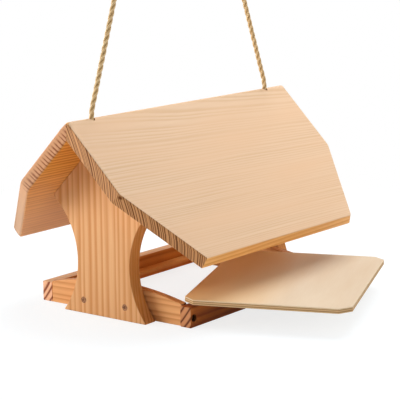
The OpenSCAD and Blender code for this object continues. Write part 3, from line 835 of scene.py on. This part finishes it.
def birch_plywood():
    """Sanded birch plywood: a pale rotary-cut face with faint wide figure, and edges that show the plies.

    The edge has pale plies at the faces and in the middle, with darker end-grained plies between. The inner
    side of the face, under the roof, is painted warmer and brighter: painted warm light bounced from the roof
    into its shade.
    """
    material, tree, shader = new_material("birch_plywood")
    along, across, up, middle = floor_frame()
    place = board_place(tree, np.array([along, -across, up]), middle)
    figure = lumps(tree, place, (140, 22, 30), 3.0)
    fibre = lumps(tree, place, (18, 0.8, 0.8))
    pores = lumps(tree, place, (0.9, 0.9, 0.5))
    shade = add(tree, "Math", fibre, 0.3, add(tree, "Math", figure, 0.7, operation="MULTIPLY"),
                operation="MULTIPLY_ADD")
    face = add(tree, "Mix", shade, data_type="RGBA", out=COLOUR_OUT,
               sockets={COLOUR_A: linear("#e8d8c0"), COLOUR_B: linear("#dabe9e")})
    # Painted light: the inner side, under the roof, is warmed and brightened for the warm bounce in the roof's
    # shade
    inner = add(tree, "MapRange", add(tree, "SeparateXYZ", place, out=1), -20.0, 90.0, 0.0, 0.75)
    face = add(tree, "Mix", inner, data_type="RGBA", out=COLOUR_OUT,
               sockets={COLOUR_A: face, COLOUR_B: linear("#ffd088")})
    ply = add(tree, "Math", add(tree, "SeparateXYZ", place, out=2), FLOOR_T, operation="DIVIDE")
    layers = add(tree, "ValToRGB", ply, stops=[
        (0.0, "#e2c094"), (0.20, "#dcb88a"), (0.26, "#a67e4a"), (0.36, "#a67e4a"), (0.42, "#e0bc90"),
        (0.60, "#e0bc90"), (0.66, "#a67e4a"), (0.74, "#a67e4a"), (0.80, "#eed4ac"), (1.0, "#f4debe")])
    edge = add(tree, "Mix", add(tree, "Math", pores, 0.35, operation="MULTIPLY"), data_type="RGBA",
               out=COLOUR_OUT, sockets={COLOUR_A: layers, COLOUR_B: linear("#7a5632")})
    facing_up = add(tree, "SeparateXYZ", add(tree, "TexCoord", out="Normal"), out=2)
    is_face = add(tree, "MapRange", add(tree, "Math", facing_up, operation="ABSOLUTE"), 0.6, 0.9)
    colour = add(tree, "Mix", is_face, data_type="RGBA", out=COLOUR_OUT,
                 sockets={COLOUR_A: edge, COLOUR_B: face})
    tree.links.new(colour, shader.inputs["Base Color"])
    bump = add(tree, "Bump", sockets={"Height": fibre, "Strength": 0.15, "Distance": 0.1 * MM})
    tree.links.new(bump, shader.inputs["Normal"])
    tree.links.new(add(tree, "MapRange", figure, 0.0, 1.0, 0.50, 0.65), shader.inputs["Roughness"])
    shader.inputs["Specular IOR Level"].default_value = 0.08
    return material


def floor_plate():
    """The plywood floor: a rectangle with four clipped corners, turned about its middle and tilted a little."""
    along, across, up, middle = floor_frame()
    w, l, c = FLOOR_W / 2, FLOOR_LEN / 2, FLOOR_CLIP
    outline = [(-w, c - l), (c - w, -l), (w - c, -l), (w, c - l),
               (w, l - c), (w - c, l), (c - w, l), (-w, l - c)]

    def place(a, b, h):
        return [middle[i] + a * across[i] + b * along[i] + h * up[i] for i in range(3)]

    even_normals(board("floor_ply", outline, FLOOR_T, PLY_EASE, place, birch_plywood(), "floor_plate",
                       "floor"))


floor_plate()


def screw_steel(name, tones, roughness, metallic):
    """Steel screws with a thin brown finish: dull metal in patches of about 1.5 mm, the worn ones brighter."""
    material, tree, shader = new_material(name)
    wear = add(tree, "TexNoise", add(tree, "TexCoord", out="Object"),
               sockets={"Scale": 1 / (1.5 * MM), "Detail": 3.0})
    tree.links.new(add(tree, "ValToRGB", wear, stops=[(0.35, tones[0]), (0.65, tones[1])]),
                   shader.inputs["Base Color"])
    tree.links.new(add(tree, "MapRange", wear, 0.0, 1.0, *roughness), shader.inputs["Roughness"])
    shader.inputs["Metallic"].default_value = metallic
    return material


def beech():
    """Turned beech dowel rod: even pinkish brown with short darker flecks."""
    material, tree, shader = new_material("beech_dowel")
    fleck = add(tree, "TexNoise", add(tree, "TexCoord", out="Object"),
                sockets={"Scale": 1 / (0.8 * MM), "Detail": 2.0})
    tree.links.new(add(tree, "ValToRGB", fleck, stops=[(0.3, "#c99c72"), (0.7, "#dcb68f")]),
                   shader.inputs["Base Color"])
    shader.inputs["Roughness"].default_value = 0.6
    return material


# Pieces that keep the CAD model's mesh. The gables' screws are bronzed, and those sunk in the rails are
# painted darker and duller: painted shade for their deep recesses
FINISHES = ((screw_steel("bronzed_steel", ("#6c4228", "#9a6c48"), (0.38, 0.6), 0.6),
             ("gable_screws_near", "gable_screws_far")),
            # Painted shade: the rail screws' steel is darkened for the shade in their recesses
            (screw_steel("recess_shaded_steel", ("#54341e", "#7a5436"), (0.5, 0.7), 0.4),
             ("rail_screws_left", "rail_screws_right")),
            (beech(), ("ridge_dowels", "roof_dowels_near", "roof_dowels_far")))
for finish, node_names in FINISHES:
    for node_name in node_names:
        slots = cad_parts[node_name].data.materials
        slots.clear()
        slots.append(finish)


# Light, in metres and watts: the surround's level; the paper's shade, glow and bounce, where its shadow fades
# out, and its half width; the point that the lamps face, and their names, places, sizes and powers
WORLD_LEVEL = 0.27
PAPER_SHADE = (0.24, 0.27, 0.29, 1.0)
PAPER_GLOW = 0.79
PAPER_BOUNCE = 0.92
PAPER_NEAR, PAPER_FAR = 0.30, 0.75
PAPER_HALF = 6.0
LAMP_TARGET = (0.03, 0, 0.1)
LAMPS = (("lamp_above", (0.05, 0.75, 1.75), 1.6, 28.8),
         ("lamp_left", (-0.96, -1.14, 0.2), 0.9, 22.5),
         ("lamp_side", (-1.4, 0.1, 0.6), 1.0, 9.0),
         ("lamp_right", (1.6, 0.6, 1.0), 1.2, 7.4))


def studio():
    """A white floor and surround with soft lamps: one above, one low in front, and weak ones at both sides.

    Seen directly, the paper shows the object's shadow near it and fades to plain white further out.
    """
    scene = bpy.context.scene
    scene.view_settings.view_transform = "Standard"

    def seen_directly(tree):
        """1 where the camera, a reflection or clear glass looks straight at a surface."""
        camera = add(tree, "LightPath", out="Is Camera Ray")
        glossy = add(tree, "LightPath", out="Is Glossy Ray")
        through = add(tree, "LightPath", out="Is Transmission Ray")
        either = add(tree, "Math", camera, glossy, operation="MAXIMUM")
        return add(tree, "Math", either, through, operation="MAXIMUM")

    world = bpy.data.worlds.new("white_surround")
    scene.world = world
    world.use_nodes = True
    tree = world.node_tree
    tree.links.new(add(tree, "MapRange", seen_directly(tree), 0.0, 1.0, WORLD_LEVEL, 1.0),
                   tree.nodes["Background"].inputs["Strength"])
    tree.nodes["Background"].inputs["Color"].default_value = (1, 1, 1, 1)

    material, tree, shader = new_material("white_paper")
    paper = add(tree, "BsdfDiffuse", PAPER_SHADE)
    glow = add(tree, "Emission", (1, 1, 1, 1), PAPER_GLOW)
    near = add(tree, "AddShader", paper, glow)
    far = add(tree, "Emission", (1, 1, 1, 1), 1.0)
    away = add(tree, "VectorMath", add(tree, "TexCoord", out="Object"), operation="LENGTH", out="Value")
    seen = add(tree, "MixShader", add(tree, "MapRange", away, PAPER_NEAR, PAPER_FAR), near, far)
    plain = add(tree, "BsdfDiffuse", (PAPER_BOUNCE, PAPER_BOUNCE, PAPER_BOUNCE, 1))
    tree.links.new(add(tree, "MixShader", seen_directly(tree), plain, seen),
                   tree.nodes["Material Output"].inputs["Surface"])
    tree.nodes.remove(shader)
    h = PAPER_HALF
    mesh = bpy.data.meshes.new("paper_floor")
    mesh.from_pydata([(-h, -h, 0), (h, -h, 0), (h, h, 0), (-h, h, 0)], [], [(0, 1, 2, 3)])
    mesh.materials.append(material)
    floor = bpy.data.objects.new("paper_floor", mesh)
    scene.collection.objects.link(floor)

    for name, at, size, power in LAMPS:
        data = bpy.data.lights.new(name, "AREA")
        data.size = size
        data.energy = power
        lamp = bpy.data.objects.new(name, data)
        lamp.location = at
        lamp.visible_camera = False
        lamp.rotation_euler = (Vector(LAMP_TARGET) - Vector(at)).to_track_quat("-Z", "Y").to_euler()
        scene.collection.objects.link(lamp)


studio()
